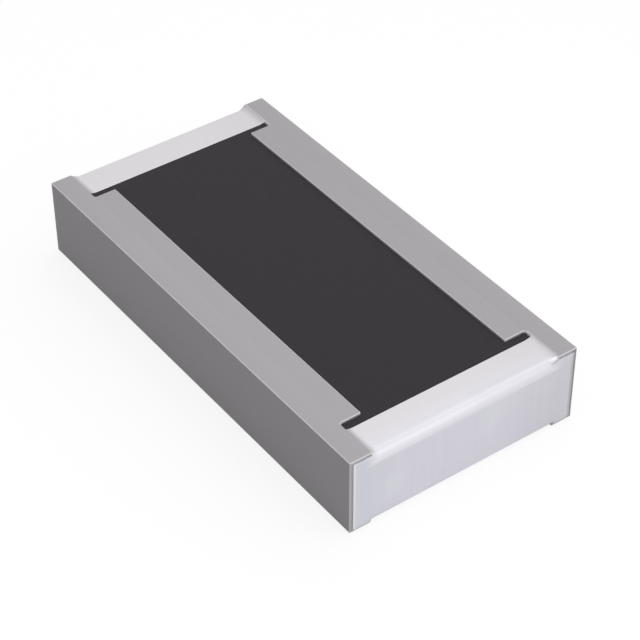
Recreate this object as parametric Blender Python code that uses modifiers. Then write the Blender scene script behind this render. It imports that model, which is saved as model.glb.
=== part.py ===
"""Thick-film chip resistor in the 1206 (metric 3216) case, lying on its two solder lands.

A grey ceramic body has a shallow tray in its top face. The resistor is printed on the tray's floor:
a contact at each end, a track that overlaps both, a glass coat, and a black overcoat that fills the
tray up to just below the rails. A termination wraps round each end: a side film that joins the top
and back contacts, a nickel barrier over it, and tin plating outside.

The origin is the middle of the part, on the plane of the solder lands. +X runs along the length,
from the left termination to the right one, and +Z is up.
"""

import math

import bmesh
import bpy
from mathutils import Matrix, Vector

MM = 0.001
TOP, BOTTOM = 1, -1
LEFT, RIGHT = -1, 1

# Ceramic body
BODY_LENGTH = 3.114 * MM
BODY_WIDTH = 1.600 * MM
BODY_HEIGHT = 0.526 * MM
BODY_EDGE_RADIUS = 0.007 * MM
LAND_STANDOFF = 0.002 * MM

# Tray in the top face: a rail along each long side, narrowed to an ear beside each termination
RAIL_WIDTH = 0.288 * MM
EAR_WIDTH = 0.144 * MM
EAR_LENGTH = 0.285 * MM
RIM_RADIUS = 0.006 * MM

# Ceramic edges that the terminations turn round
TOP_TURN_RADIUS = 0.045 * MM
BOTTOM_TURN_RADIUS = 0.050 * MM

# Where the top strip meets an ear it climbs the ear's wall a little, and its turn tightens
SHOULDER_REACH = 0.060 * MM
SHOULDER_RISE = 0.008 * MM
SHOULDER_TURN_SHARE = 0.50

# Clearances between bonded pieces: between one layer and the next, and beside the tray's walls
LAYER_GAP = 0.001 * MM
SIDE_GAP = 0.002 * MM

# Layer thicknesses
CONTACT_THICKNESS = 0.0120 * MM
EDGE_FILM_THICKNESS = 0.0020 * MM
NICKEL_THICKNESS = 0.0025 * MM
TIN_THICKNESS = 0.0025 * MM
TRACK_THICKNESS = 0.0030 * MM
GLASS_THICKNESS = 0.0020 * MM
OVERCOAT_THICKNESS = 0.0025 * MM
OVERCOAT_RECESS = 0.0125 * MM

# Terminations, measured inwards from the body's end
TOP_STRIP_REACH = 0.236 * MM
LAND_REACH = 0.400 * MM
PLATE_SIDE_MARGIN = 0.023 * MM
PLATE_TOP_MARGIN = 0.018 * MM
PLATE_BOTTOM_MARGIN = 0.020 * MM
PLATE_EDGE_RADIUS = 0.006 * MM

# Printed resistor: margins from the strip's edge and the tray's wall, then from the track's own edges
TRACK_END_MARGIN = 0.170 * MM
TRACK_SIDE_MARGIN = 0.112 * MM
TRACK_OVERLAP = 0.100 * MM
PRINT_RAMP = 0.030 * MM
GLASS_END_MARGIN = 0.020 * MM
GLASS_SIDE_MARGIN = 0.030 * MM
CONTACT_TONGUE_MARGIN = 0.050 * MM
CONTACT_SIDE_MARGIN = 0.054 * MM
CONTACT_END_MARGIN = 0.010 * MM

# Laser trim: a cut in from the track's side that turns along it. TRIM_START is its place in X.
TRIM_WIDTH = 0.040 * MM
TRIM_START = -0.320 * MM
TRIM_DEPTH = 0.420 * MM
TRIM_RUN = 0.380 * MM

# Cutters run past what they cut by this much
CUT_PAST = 0.050 * MM

TURN_STEPS = 4
EASE_STEPS = 2
EDGE_STEPS = 2
SHOULDER_STEPS = 3

BODY_END = BODY_LENGTH / 2
BODY_SIDE = BODY_WIDTH / 2
BODY_TOP = LAND_STANDOFF + BODY_HEIGHT

CONTACT_STACK = LAYER_GAP + CONTACT_THICKNESS
WRAP_STACK = 3 * LAYER_GAP + EDGE_FILM_THICKNESS + NICKEL_THICKNESS + TIN_THICKNESS
COAT_STACK = 3 * LAYER_GAP + TRACK_THICKNESS + GLASS_THICKNESS + OVERCOAT_THICKNESS

TRAY_FLOOR = BODY_TOP - OVERCOAT_RECESS - COAT_STACK - CONTACT_STACK
LAND_FLOOR = WRAP_STACK + CONTACT_STACK
COAT_TOP = BODY_TOP - OVERCOAT_RECESS

TRAY_SIDE = BODY_SIDE - RAIL_WIDTH
TRAY_END_SIDE = BODY_SIDE - EAR_WIDTH
RAIL_END = BODY_END - EAR_LENGTH
STRIP_INNER = BODY_END - TOP_STRIP_REACH
LAND_INNER = BODY_END - LAND_REACH
STRIP_SIDE = TRAY_END_SIDE - SIDE_GAP

# How far each layer lies inside the tin's outer surface
TIN_INSET = 0.0
NICKEL_INSET = TIN_THICKNESS + LAYER_GAP
EDGE_FILM_INSET = NICKEL_INSET + NICKEL_THICKNESS + LAYER_GAP
CONTACT_INSET = EDGE_FILM_INSET + EDGE_FILM_THICKNESS + LAYER_GAP

TRACK_END = STRIP_INNER - TRACK_END_MARGIN
TRACK_SIDE = TRAY_SIDE - TRACK_SIDE_MARGIN
GLASS_SIDE = TRACK_SIDE + GLASS_SIDE_MARGIN
CONTACT_INNER = TRACK_END - TRACK_OVERLAP

CERAMIC = ("grey_ceramic", (0.40, 0.39, 0.40), 0.55, 0.0)
SILVER_PRINT = ("silver_print", (0.66, 0.64, 0.60), 0.45, 1.0)
TRACK = ("resistor_print", (0.035, 0.035, 0.038), 0.60, 0.0)
GLASS = ("glass_coat", (0.16, 0.30, 0.24), 0.15, 0.0)
OVERCOAT = ("black_overcoat", (0.045, 0.042, 0.045), 0.50, 0.0)
SIDE_METAL = ("side_film", (0.50, 0.49, 0.47), 0.35, 1.0)
NICKEL = ("nickel", (0.58, 0.56, 0.52), 0.30, 1.0)
TIN = ("tin", (0.78, 0.78, 0.80), 0.35, 1.0)


def clear_scene():
    for obj in list(bpy.data.objects):
        bpy.data.objects.remove(obj)


def new_collection(name):
    collection = bpy.data.collections.new(name)
    bpy.context.scene.collection.children.link(collection)
    return collection


def material(name, colour, roughness, metallic):
    if name in bpy.data.materials:
        return bpy.data.materials[name]
    made = bpy.data.materials.new(name)
    made.use_nodes = True
    shader = made.node_tree.nodes["Principled BSDF"]
    shader.inputs["Base Color"].default_value = (*colour, 1.0)
    shader.inputs["Roughness"].default_value = roughness
    shader.inputs["Metallic"].default_value = metallic
    made.diffuse_color = (*colour, 1.0)
    return made


def object_from(bm, name, collection):
    bmesh.ops.recalc_face_normals(bm, faces=bm.faces)
    mesh = bpy.data.meshes.new(name)
    bm.to_mesh(mesh)
    bm.free()
    obj = bpy.data.objects.new(name, mesh)
    collection.objects.link(obj)
    return obj


def loft(name, rings, collection):
    """Closed solid through rings of points that correspond one to one, capped at both ends."""
    bm = bmesh.new()
    loops = [[bm.verts.new(point) for point in ring] for ring in rings]
    for low, high in zip(loops, loops[1:]):
        for k in range(len(low)):
            bm.faces.new((low[k - 1], low[k], high[k], high[k - 1]))
    bm.faces.new(loops[0])
    bm.faces.new(loops[-1])
    return object_from(bm, name, collection)


def plan_solid(name, outline, low, high, collection):
    """An outline of (x, y) points carried from z = low to z = high."""
    return loft(name, [[(x, y, z) for x, y in outline] for z in (low, high)], collection)


def profile_solid(name, outline, half_width, collection):
    """An outline of (x, z) points carried across the part, half_width to each side."""
    rings = [[(x, y, z) for x, z in outline] for y in (-half_width, half_width)]
    return loft(name, rings, collection)


def block(name, size, centre, collection):
    bm = bmesh.new()
    place = Matrix.Translation(Vector(centre)) @ Matrix.Diagonal((*size, 1.0))
    bmesh.ops.create_cube(bm, size=1.0, matrix=place)
    return object_from(bm, name, collection)


def four_way(quarter):
    """A closed outline from the points of its +X +Y quarter, listed from the +X side to the +Y side."""
    back = quarter[::-1]
    return (
        quarter
        + [(-x, y) for x, y in back]
        + [(-x, -y) for x, y in quarter]
        + [(x, -y) for x, y in back]
    )


def turn(centre_x, centre_z, radius, side, rise):
    """A quarter turn of a section, from level at the top or bottom (rise) to upright at the end."""
    angles = [math.pi / 2 * step / TURN_STEPS for step in range(TURN_STEPS + 1)]
    return [
        (centre_x + side * radius * math.sin(a), centre_z + rise * radius * math.cos(a))
        for a in angles
    ]


def eased(radius):
    """Steps over a rounded edge, as (depth still to go to the face, how far the outline has moved)."""
    angles = [math.pi / 2 * step / EASE_STEPS for step in range(EASE_STEPS + 1)]
    return [(radius * (1 - math.sin(a)), radius * (1 - math.cos(a))) for a in angles]


def cut(obj, cutter, operation="DIFFERENCE"):
    cutter.hide_render = True
    cutter.display_type = "WIRE"
    modifier = obj.modifiers.new(f"{operation.lower()}_{cutter.name}", "BOOLEAN")
    modifier.operation = operation
    modifier.object = cutter


def finish(obj, look):
    obj.data.materials.append(material(*look))
    return obj


def tray_outline(grow):
    """The tray's plan, past both ends of the body. grow widens it where its rim is rounded."""
    past_end = BODY_END + CUT_PAST
    return four_way(
        [
            (past_end, TRAY_END_SIDE + grow),
            (RAIL_END - grow, TRAY_END_SIDE + grow),
            (RAIL_END - grow, TRAY_SIDE + grow),
        ]
    )


def tray_cutter(cutters):
    levels = [(TRAY_FLOOR, 0.0)]
    levels += [(BODY_TOP - depth, grow) for depth, grow in eased(RIM_RADIUS)]
    levels.append((BODY_TOP + CUT_PAST, RIM_RADIUS))
    rings = [[(x, y, z) for x, y in tray_outline(grow)] for z, grow in levels]
    return loft("tray_cutter", rings, cutters)


def top_turn_cutter(side, cutters):
    """Rounds the end of the tray's floor, between the ears."""
    past = side * (BODY_END + CUT_PAST)
    inner = side * (BODY_END - TOP_TURN_RADIUS)
    outline = turn(inner, TRAY_FLOOR - TOP_TURN_RADIUS, TOP_TURN_RADIUS, side, TOP)
    outline += [(past, TRAY_FLOOR - TOP_TURN_RADIUS), (past, BODY_TOP), (inner, BODY_TOP)]
    return profile_solid(f"top_turn_cutter_{side:+d}", outline, TRAY_END_SIDE, cutters)


def land_cutter(side, cutters):
    """Sinks the underside for a solder land and rounds its outer end."""
    past = side * (BODY_END + CUT_PAST)
    inner = side * (LAND_INNER - SIDE_GAP)
    below = -CUT_PAST
    outline = [(past, below), (inner, below), (inner, LAND_FLOOR)]
    outline += turn(
        side * (BODY_END - BOTTOM_TURN_RADIUS),
        LAND_FLOOR + BOTTOM_TURN_RADIUS,
        BOTTOM_TURN_RADIUS,
        side,
        BOTTOM,
    )
    outline.append((past, LAND_FLOOR + BOTTOM_TURN_RADIUS))
    return profile_solid(f"land_cutter_{side:+d}", outline, TRAY_END_SIDE, cutters)


def make_substrate(parts, cutters):
    size = (BODY_LENGTH, BODY_WIDTH, BODY_HEIGHT)
    centre = (0.0, 0.0, LAND_STANDOFF + BODY_HEIGHT / 2)
    body = block("ceramic_substrate", size, centre, parts)
    edges = body.modifiers.new("edge_rounding", "BEVEL")
    edges.width = BODY_EDGE_RADIUS
    edges.segments = EDGE_STEPS
    cut(body, tray_cutter(cutters))
    for side in (LEFT, RIGHT):
        cut(body, top_turn_cutter(side, cutters))
        cut(body, land_cutter(side, cutters))
    return finish(body, CERAMIC)


def top_contact_outline(side, grow):
    """The contact's plan: a tongue under the track, wide under the termination's strip."""
    tongue_half = TRAY_SIDE - CONTACT_TONGUE_MARGIN + grow
    wide_half = STRIP_SIDE - CONTACT_SIDE_MARGIN + grow
    tongue_end = side * (CONTACT_INNER - grow)
    wide_end = side * (RAIL_END + SIDE_GAP + CONTACT_INSET - grow)
    outer = side * (BODY_END - TOP_TURN_RADIUS - CONTACT_END_MARGIN + grow)
    half = [(outer, wide_half), (wide_end, wide_half), (wide_end, tongue_half), (tongue_end, tongue_half)]
    return half + [(x, -y) for x, y in reversed(half)]


def top_contact_solid(name, side, grow, collection):
    low = TRAY_FLOOR + LAYER_GAP - grow
    high = TRAY_FLOOR + CONTACT_STACK + grow
    return plan_solid(name, top_contact_outline(side, grow), low, high, collection)


def back_contact_solid(name, side, grow, collection):
    inner = LAND_INNER + CONTACT_INSET - grow
    outer = BODY_END - BOTTOM_TURN_RADIUS - CONTACT_END_MARGIN + grow
    width = 2 * (STRIP_SIDE - CONTACT_SIDE_MARGIN + grow)
    size = (outer - inner, width, CONTACT_THICKNESS + 2 * grow)
    centre = (side * (inner + outer) / 2, 0.0, LAND_FLOOR - LAYER_GAP - CONTACT_THICKNESS / 2)
    return block(name, size, centre, collection)


def wrap_line(side, top, bottom, end, top_radius, bottom_radius, tip):
    """One line of a termination's section, from the strip's tip round the end to the land's tip."""
    line = [(side * (STRIP_INNER + tip), top)]
    line += turn(side * (end - top_radius), top - top_radius, top_radius, side, TOP)
    around = turn(side * (end - bottom_radius), bottom + bottom_radius, bottom_radius, side, BOTTOM)
    return line + around[::-1] + [(side * (LAND_INNER + tip), bottom)]


def wrap_profile(side, inset, ceramic_gap, shoulder):
    """Section of a termination as (x, z). shoulder is 0 along the strip and 1 beside an ear."""
    outside = wrap_line(
        side,
        TRAY_FLOOR + CONTACT_STACK + WRAP_STACK - inset + SHOULDER_RISE * shoulder**2,
        inset,
        BODY_END + WRAP_STACK - inset,
        (TOP_TURN_RADIUS + WRAP_STACK - inset) * (1 - (1 - SHOULDER_TURN_SHARE) * shoulder),
        BOTTOM_TURN_RADIUS + WRAP_STACK - inset,
        inset,
    )
    inside = wrap_line(
        side,
        TRAY_FLOOR + ceramic_gap,
        LAND_FLOOR - ceramic_gap,
        BODY_END + ceramic_gap,
        TOP_TURN_RADIUS + ceramic_gap,
        BOTTOM_TURN_RADIUS + ceramic_gap,
        inset,
    )
    return outside + inside[::-1]


def plate_outline(inset, shrink):
    """The end plate as (y, z). Its corners reach up beside the ears and down beside the feet, and
    between them it stops where the strip and the land turn in."""
    wing = BODY_SIDE - PLATE_SIDE_MARGIN - inset - shrink
    strip = STRIP_SIDE + inset
    high = BODY_TOP - PLATE_TOP_MARGIN - inset - shrink
    low = LAND_STANDOFF + PLATE_BOTTOM_MARGIN + inset + shrink
    strip_high = TRAY_FLOOR + CONTACT_STACK - TOP_TURN_RADIUS
    strip_low = LAND_FLOOR - CONTACT_STACK + BOTTOM_TURN_RADIUS
    right_half = [
        (strip, strip_low),
        (strip, low),
        (wing, low),
        (wing, high),
        (strip, high),
        (strip, strip_high),
    ]
    return right_half + [(-y, z) for y, z in reversed(right_half)]


def plate_solid(name, side, inset, ceramic_gap, collection):
    """The end plate. Only the tin, which is outermost, has rounded edges."""
    outer = BODY_END + WRAP_STACK - inset
    levels = [(BODY_END + ceramic_gap, 0.0)]
    if inset == TIN_INSET:
        levels += [(outer - depth, shrink) for depth, shrink in eased(PLATE_EDGE_RADIUS)]
    else:
        levels.append((outer, 0.0))
    rings = [[(side * x, y, z) for y, z in plate_outline(inset, shrink)] for x, shrink in levels]
    return loft(name, rings, collection)


def wrap_solid(name, side, inset, ceramic_gap, collection, cutters):
    """Everything from the ceramic's surface out to the layer at this inset, as one solid."""
    half_width = STRIP_SIDE - inset
    shoulders = [step / SHOULDER_STEPS for step in range(SHOULDER_STEPS, -1, -1)]
    rings = []
    for shoulder in shoulders:
        y = half_width - SHOULDER_REACH * (1 - shoulder)
        rings.append([(x, -y, z) for x, z in wrap_profile(side, inset, ceramic_gap, shoulder)])
    rings += [[(x, -y, z) for x, y, z in ring] for ring in reversed(rings)]
    wrap = loft(name, rings, collection)
    cut(wrap, plate_solid(f"plate_of_{name}", side, inset, ceramic_gap, cutters), "UNION")
    return wrap


def make_termination(side, word, parts, cutters):
    """Side film, nickel and tin. Each covers the last, and all three clear the printed contacts."""
    layers = (
        ("edge_film", EDGE_FILM_INSET, SIDE_METAL),
        ("nickel_barrier", NICKEL_INSET, NICKEL),
        ("tin_plating", TIN_INSET, TIN),
    )
    contact_rooms = (
        top_contact_solid(f"top_contact_room_{word}", side, LAYER_GAP, cutters),
        back_contact_solid(f"back_contact_room_{word}", side, LAYER_GAP, cutters),
    )
    inner_inset = None
    for kind, inset, look in layers:
        layer = wrap_solid(f"{kind}_{word}", side, inset, LAYER_GAP, parts, cutters)
        if inner_inset is not None:
            room = wrap_solid(
                f"room_in_{kind}_{word}", side, inner_inset - LAYER_GAP, 0.0, cutters, cutters
            )
            cut(layer, room)
        for room in contact_rooms:
            cut(layer, room)
        finish(layer, look)
        inner_inset = inset


def print_outline(half_length, thickness, lift, base):
    """Section of a printed layer as (x, z): level in the middle, raised where it climbs the contacts."""
    level = base + thickness
    raised = level + lift
    quarter = [(half_length, raised), (CONTACT_INNER, raised), (CONTACT_INNER - PRINT_RAMP, level)]
    top = quarter + [(-x, z) for x, z in reversed(quarter)]
    return top + [(-half_length, base), (half_length, base)]


def track_solid(name, grow, collection):
    outline = print_outline(
        TRACK_END + grow,
        TRACK_THICKNESS + 2 * grow,
        CONTACT_STACK,
        TRAY_FLOOR + LAYER_GAP - grow,
    )
    return profile_solid(name, outline, TRACK_SIDE + grow, collection)


def glass_solid(name, grow, collection):
    outline = print_outline(
        TRACK_END + GLASS_END_MARGIN + grow,
        TRACK_THICKNESS + LAYER_GAP + GLASS_THICKNESS + 2 * grow,
        CONTACT_STACK,
        TRAY_FLOOR + LAYER_GAP - grow,
    )
    return profile_solid(name, outline, GLASS_SIDE + grow, collection)


def trim_solid(name, shrink, low, collection):
    """The laser's path: in from the track's side, then along it. shrink makes it narrower."""
    half = TRIM_WIDTH / 2 - shrink
    outside = -GLASS_SIDE - CUT_PAST
    turn_at = TRIM_DEPTH - TRACK_SIDE
    outline = [
        (TRIM_START - half, outside),
        (TRIM_START + half, outside),
        (TRIM_START + half, turn_at - half),
        (TRIM_START + TRIM_RUN - shrink, turn_at - half),
        (TRIM_START + TRIM_RUN - shrink, turn_at + half),
        (TRIM_START - half, turn_at + half),
    ]
    return plan_solid(name, outline, low, COAT_TOP, collection)


def overcoat_outline():
    side = TRAY_SIDE - SIDE_GAP
    end_side = TRAY_END_SIDE - SIDE_GAP
    rail_gap = RAIL_END + SIDE_GAP
    end = STRIP_INNER - SIDE_GAP
    return four_way([(end, end_side), (rail_gap, end_side), (rail_gap, side)])


def make_resistor(parts, cutters):
    """Contacts, track, glass and overcoat, each laid over the ones before."""
    contact_rooms = []
    for side, word in ((LEFT, "left"), (RIGHT, "right")):
        finish(top_contact_solid(f"top_contact_{word}", side, 0.0, parts), SILVER_PRINT)
        finish(back_contact_solid(f"back_contact_{word}", side, 0.0, parts), SILVER_PRINT)
        contact_rooms.append(
            top_contact_solid(f"contact_room_{word}", side, LAYER_GAP, cutters)
        )

    track = finish(track_solid("resistive_film", 0.0, parts), TRACK)
    glass = finish(glass_solid("glass_coat", 0.0, parts), GLASS)
    coat = finish(
        plan_solid("overcoat", overcoat_outline(), TRAY_FLOOR + LAYER_GAP, COAT_TOP, parts), OVERCOAT
    )
    for layer in (track, glass, coat):
        for room in contact_rooms:
            cut(layer, room)
    cut(glass, track_solid("track_room", LAYER_GAP, cutters))

    trim = trim_solid("trim_cut", 0.0, TRAY_FLOOR, cutters)
    cut(track, trim)
    cut(glass, trim)
    glass_room = glass_solid("glass_room", LAYER_GAP, cutters)
    cut(glass_room, trim_solid("trim_fill", SIDE_GAP, TRAY_FLOOR - CUT_PAST, cutters))
    cut(coat, glass_room)


def main():
    clear_scene()
    parts = new_collection("chip_resistor")
    cutters = new_collection("cutters")
    make_substrate(parts, cutters)
    make_resistor(parts, cutters)
    for side, word in ((LEFT, "left"), (RIGHT, "right")):
        make_termination(side, word, parts, cutters)


main()
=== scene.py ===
"""Thick-film chip resistor in the 1206 case, dressed and lit for a studio picture.

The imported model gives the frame: metres, +X along the length, +Z up, origin on the solder lands.
Three outer forms are made again here with finer roundings and replace their nodes: the fired
ceramic body, the black overcoat and the tin plating of each end. The bonded layers under them keep
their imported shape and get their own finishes.
"""

import logging
import math
from dataclasses import dataclass, field
from enum import Enum

import bmesh
import bpy
from mathutils import Matrix, Vector


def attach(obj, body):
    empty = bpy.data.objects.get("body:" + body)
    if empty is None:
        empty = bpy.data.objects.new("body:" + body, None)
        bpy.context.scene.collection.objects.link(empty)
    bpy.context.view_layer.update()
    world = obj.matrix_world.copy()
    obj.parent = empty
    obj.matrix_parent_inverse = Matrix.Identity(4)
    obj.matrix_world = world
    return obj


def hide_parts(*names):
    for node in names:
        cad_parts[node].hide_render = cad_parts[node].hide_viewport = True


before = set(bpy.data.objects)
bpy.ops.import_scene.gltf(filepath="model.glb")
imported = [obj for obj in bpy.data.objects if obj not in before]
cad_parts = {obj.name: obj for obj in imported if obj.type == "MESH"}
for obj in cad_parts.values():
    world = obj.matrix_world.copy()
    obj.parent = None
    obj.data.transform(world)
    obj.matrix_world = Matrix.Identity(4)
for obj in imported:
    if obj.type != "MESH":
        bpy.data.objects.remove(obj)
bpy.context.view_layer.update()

LOG = logging.getLogger("chip_resistor")
MM = 0.001

Point2 = tuple[float, float]
Point3 = tuple[float, float, float]
Corner = tuple[float, float, float]
Colour = tuple[float, float, float]
Socket = bpy.types.NodeSocket

# The driving sizes: lengths and widths from the part's middle, heights from the plane of the lands.
BODY_END = 1.557 * MM
BODY_SIDE = 0.800 * MM
BODY_TOP = 0.528 * MM
RAIL_END = 1.268 * MM
EAR_WALL = 0.656 * MM
STRIP_INNER = 1.323 * MM
STRIP_TOP = 0.515 * MM
WING_SIDE = 0.778 * MM

# How far the plating stands out from the ceramic, and the room between one bonded layer and the next.
PLATING = 0.010 * MM
BOND = 0.001 * MM
TIN_END = BODY_END + PLATING

# Points nearer to each other than this are one point.
SAME_POINT = 1e-9
# Nearly all values of a noise lie between these two.
NOISE_LOW = 0.3
NOISE_HIGH = 0.7


class End(Enum):
    """The two ends of the resistor. The value is the sign of X there."""

    LEFT = -1
    RIGHT = 1

    @property
    def word(self) -> str:
        """The end's word in node names."""
        return self.name.lower()


class Edge(Enum):
    """The two faces that a section turns towards. The value is the sign of Z."""

    TOP = 1
    BOTTOM = -1


class Axis(Enum):
    """An axis of the part."""

    X = "X"
    Y = "Y"
    Z = "Z"


class Detail(Enum):
    """How much detail a noise has, as its octaves."""

    SOFT = 2.0
    MEDIUM = 3.0
    FINE = 4.0


class Drag(Enum):
    """How a finish's grains are drawn out, as the stretch of their noise."""

    NONE = (1.0, 1.0, 1.0)
    UPRIGHT = (1.0, 1.0, 0.06)


class Sum(Enum):
    """What is reckoned from two values, by the name that a Math node has for it."""

    LESS = "SUBTRACT"
    TIMES = "MULTIPLY"
    POWER = "POWER"
    LARGER = "MAXIMUM"


class Ray(Enum):
    """Kinds of ray that the stage answers differently."""

    CAMERA = "Is Camera Ray"
    GLOSSY = "Is Glossy Ray"


@dataclass(frozen=True)
class Ramp:
    """A smooth ramp along an axis: low before start, high after stop.

    With both set, the place along the axis is taken without its sign, so both ends or sides are alike.
    """

    axis: Axis
    start: float
    stop: float
    low: float = 0.0
    high: float = 1.0
    both: bool = False


@dataclass(frozen=True)
class Relief:
    """How uneven a finish is.

    The roughness goes as far as smoother below its usual value and as far as rougher above it. A full
    step of the bump is depth metres high, and strength is the share of it that is kept.
    """

    smoother: float
    rougher: float
    depth: float
    strength: float


def smooth_step(share: float) -> float:
    """Ease from 0 to 1.

    Args:
        share: Place along the way, clamped to 0 to 1.

    Returns:
        The eased share.
    """
    t = min(max(share, 0.0), 1.0)
    return t * t * (3 - 2 * t)


def arc_angles(steps: int) -> list[float]:
    """Angles of a quarter turn.

    Args:
        steps: How many steps the quarter has.

    Returns:
        The angles from 0 to a right angle, in radians.
    """
    return [math.pi / 2 * step / steps for step in range(steps + 1)]


def filleted(corners: list[Corner], steps: int) -> list[Point2]:
    """Round the corners of a closed outline.

    Args:
        corners: Each corner as (x, y, radius), in order round the outline.
        steps: Segments of each rounded corner.

    Returns:
        The outline's points.
    """
    points: list[Point2] = []
    for k, (x, y, radius) in enumerate(corners):
        here = Vector((x, y))
        back = (Vector(corners[k - 1][:2]) - here).normalized()
        ahead = (Vector(corners[(k + 1) % len(corners)][:2]) - here).normalized()
        if radius <= 0.0:
            points.append((x, y))
            continue
        half = back.angle(ahead) / 2
        reach = radius / math.tan(half)
        centre = here + (back + ahead).normalized() * (radius / math.sin(half))
        first = here + back * reach - centre
        last = here + ahead * reach - centre
        sweep = first.angle(last)
        for step in range(steps + 1):
            share = step / steps
            away = first * math.sin((1 - share) * sweep) + last * math.sin(share * sweep)
            spot = centre + away / math.sin(sweep)
            points.append((spot.x, spot.y))
    return points


def four_way(quarter: list[Corner]) -> list[Corner]:
    """Mirror a quarter of an outline into the whole.

    Args:
        quarter: Corners of the +X +Y quarter as (x, y, radius), from the +X side to the +Y side.

    Returns:
        The corners of the whole outline.
    """
    back = quarter[::-1]
    return (
        quarter
        + [(-x, y, r) for x, y, r in back]
        + [(-x, -y, r) for x, y, r in quarter]
        + [(x, -y, r) for x, y, r in back]
    )


def placed(name: str, form: bmesh.types.BMesh) -> bpy.types.Object:
    """Turn a form into an object and free the form.

    Args:
        name: Name of the object and its mesh.
        form: The form.

    Returns:
        The new object, linked to the scene.
    """
    mesh = bpy.data.meshes.new(name)
    form.to_mesh(mesh)
    form.free()
    made = bpy.data.objects.new(name, mesh)
    bpy.context.scene.collection.objects.link(made)
    return made


def loft(name: str, rings: list[list[Point3]]) -> bpy.types.Object:
    """Make a closed solid through rings of points that match one to one.

    Args:
        name: Name of the object and its mesh.
        rings: The rings, each with the same number of points.

    Returns:
        The new object, linked to the scene.
    """
    form = bmesh.new()
    loops = [[form.verts.new(point) for point in ring] for ring in rings]
    for low, high in zip(loops, loops[1:]):
        for k in range(len(low)):
            form.faces.new((low[k - 1], low[k], high[k], high[k - 1]))
    form.faces.new(loops[0])
    form.faces.new(loops[-1])
    bmesh.ops.remove_doubles(form, verts=form.verts, dist=SAME_POINT)
    bmesh.ops.dissolve_degenerate(form, edges=form.edges, dist=SAME_POINT)
    bmesh.ops.recalc_face_normals(form, faces=form.faces)
    return placed(name, form)


def subtract(piece: bpy.types.Object, cutters: list[bpy.types.Object]) -> None:
    """Take cutters out of a piece and delete them.

    Args:
        piece: The object that is cut.
        cutters: The objects that cut it.
    """
    for cutter in cutters:
        modifier = piece.modifiers.new("cut", "BOOLEAN")
        modifier.operation = "DIFFERENCE"
        modifier.solver = "EXACT"
        modifier.object = cutter
    settle(piece)
    for cutter in cutters:
        bpy.data.objects.remove(cutter)


def settle(piece: bpy.types.Object) -> None:
    """Turn a piece's modifiers into plain mesh.

    Args:
        piece: The object whose modifiers are used up.
    """
    graph = bpy.context.evaluated_depsgraph_get()
    mesh = bpy.data.meshes.new_from_object(piece.evaluated_get(graph))
    old = piece.data
    piece.modifiers.clear()
    piece.data = mesh
    mesh.name = old.name
    bpy.data.meshes.remove(old)


def shade(piece: bpy.types.Object, crease: float = 40.0, weight: int = 90) -> None:
    """Shade a piece smooth over its roundings and flat on its flats.

    Args:
        piece: The object to shade.
        crease: Edges sharper than this many degrees stay sharp.
        weight: How much more a large face counts than a small one, from 50 for not at all to 100.
    """
    piece.data.shade_smooth()
    piece.data.set_sharp_from_angle(angle=math.radians(crease))
    weights = piece.modifiers.new("face_weights", "WEIGHTED_NORMAL")
    weights.keep_sharp = True
    weights.weight = weight
    settle(piece)


def lit(colour: Colour, factor: float) -> Colour:
    """A colour made lighter or darker by a factor."""
    return (colour[0] * factor, colour[1] * factor, colour[2] * factor)


def ramped(tree: bpy.types.NodeTree, vector: Socket, ramp: Ramp) -> Socket:
    """Ramp a value along an axis.

    Args:
        tree: The node tree that the ramp is added to.
        vector: The place or direction that the ramp reads.
        ramp: The ramp.

    Returns:
        The value.
    """
    split = tree.nodes.new("ShaderNodeSeparateXYZ")
    tree.links.new(vector, split.inputs["Vector"])
    place = split.outputs[ramp.axis.value]
    if ramp.both:
        unsigned = tree.nodes.new("ShaderNodeMath")
        unsigned.operation = "ABSOLUTE"
        tree.links.new(place, unsigned.inputs[0])
        place = unsigned.outputs["Value"]
    level = tree.nodes.new("ShaderNodeMapRange")
    level.interpolation_type = "SMOOTHSTEP"
    level.inputs["From Min"].default_value = ramp.start
    level.inputs["From Max"].default_value = ramp.stop
    level.inputs["To Min"].default_value = ramp.low
    level.inputs["To Max"].default_value = ramp.high
    tree.links.new(place, level.inputs["Value"])
    return level.outputs["Result"]


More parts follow.
